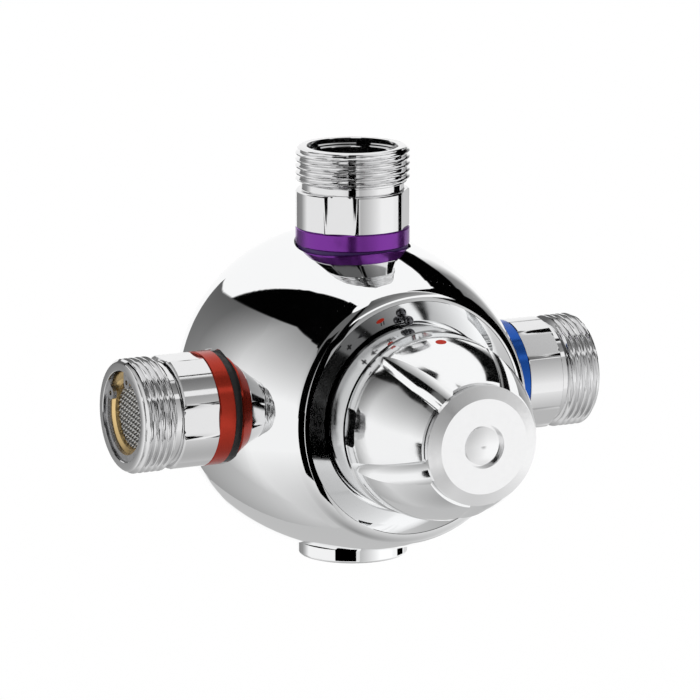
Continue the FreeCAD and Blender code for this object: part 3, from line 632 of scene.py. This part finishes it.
# Left side: white behind, then a black card over a gradient that is darker towards the back
left_border = sky.least(left_foot_height, sky.line(azimuth, *left_foot_back_line),
                        sky.line(azimuth, *left_foot_front_line))
left_drop = sky.math("MAXIMUM", sky.minus(left_border, height), 0.0)
left_near = sky.least(sky.line(left_drop, *left_near_line), left_near_most)
left_far = sky.line(left_drop, *left_far_line)
left_grey = sky.mix(left_near, left_far, sky.ramp(azimuth, *left_far_ramp))
left_card = sky.mix(left_card_grey, ink, sky.ramp(azimuth, *left_card_grey_ramp))
left_card = sky.mix(left_card, ink, sky.ramp(azimuth, *left_card_front_ramp))
left_above = sky.mix(paper, left_card, sky.times(sky.ramp(azimuth, *left_card_back_ramp),
                                                 sky.ramp(height, *left_card_top_ramp)))
left = sky.mix(left_grey, left_above, sky.ramp(height, left_border, left_foot_soft))

# Front: a gradient that brightens downwards, with a white arch
front = sky.math("MAXIMUM", sky.line(height, *front_line), front_least)
front = sky.times(sky.least(front, front_most), sky.minus(1.0, sky.times(
    sky.ramp(azimuth, *front_dim_ramp), front_dim_share)))
arch = sky.times(sky.ramp(height, *arch_foot_ramp), sky.ramp(height, *arch_top_ramp))
front = sky.mix(front, paper, arch)

# Right side: a black card, a grey patch under its far part, and white paper around them
card_bend = sky.math("MAXIMUM", azimuth, card_top_bend)
card_top = sky.least(card_top_height, sky.line(card_bend, *card_top_near_line),
                     sky.line(azimuth, *card_top_far_line))
card_foot = sky.math("MAXIMUM", sky.line(azimuth, *card_foot_line), card_foot_least)
card_foot = sky.mix(card_foot, card_foot_far, sky.ramp(azimuth, *card_foot_far_ramp))
card = sky.times(sky.ramp(azimuth, *card_left_ramp), sky.ramp(azimuth, *card_right_ramp),
                 sky.ramp(height, card_foot, card_foot_soft),
                 sky.ramp(height, card_top, card_top_soft))
patch = sky.times(sky.band(azimuth, *patch_band), sky.ramp(height, *patch_top_ramp))
patch_grey = sky.least(sky.line(height, *patch_line), paper)
right = sky.mix(front, paper, sky.ramp(azimuth, *right_paper_ramp))
right = sky.mix(right, patch_grey, patch)
right = sky.mix(right, ink, card)

# Both sides joined, with two black strips left of the front
shade = sky.mix(left, right, sky.ramp(azimuth, *left_end_ramp))
strip = sky.times(sky.band(azimuth, *strip_band), sky.band(height, *strip_height_band))
shade = sky.mix(shade, ink, strip)
side_strip = sky.times(sky.band(azimuth, *side_strip_band),
                       sky.band(height, *side_strip_height_band))
shade = sky.mix(shade, ink, side_strip)

# Table: dimmer the lower it is seen, and plain behind
table = sky.least(sky.line(height, *table_line), table_most)
shade = sky.mix(shade, sky.least(shade, table), sky.ramp(height, *table_ramp))
behind = sky.times(sky.ramp(azimuth, *behind_ramp), sky.ramp(height, *behind_height_ramp))
shade = sky.mix(shade, sky.least(shade, behind_grey), behind)
light = sky.math("POWER", shade, display_gamma)

# Reflections see the studio, and everything else a plain white
paths = world.node_tree.nodes.new("ShaderNodeLightPath")
level = sky.mix(1.0, light, paths.outputs["Is Glossy Ray"])
background = world.node_tree.nodes["Background"]
background.inputs["Color"].default_value = (1, 1, 1, 1)
world.node_tree.links.new(level, background.inputs["Strength"])

# Camera, from the photograph's own frame in pixels
frame_side = 700
focal_pixels = 5720
shift_right = -2.5
shift_up = 41.7
sensor_width = 36.0
camera_distance = 1330.0
camera_back = Vector((-0.4438, -0.8705, 0.2130)).normalized()
camera_data = bpy.data.cameras.new("camera")
camera = bpy.data.objects.new("camera", camera_data)
bpy.context.scene.collection.objects.link(camera)
camera.location = (crossing + camera_back * camera_distance) * MM
camera.rotation_euler = camera_back.to_track_quat("Z", "Y").to_euler()
camera_data.sensor_width = sensor_width
camera_data.lens = focal_pixels / frame_side * sensor_width
camera_data.shift_x = shift_right / frame_side
camera_data.shift_y = shift_up / frame_side
camera_data.clip_start = 0.05
camera_data.clip_end = 20.0
bpy.context.scene.camera = camera

bpy.context.scene.view_settings.view_transform = "Standard"
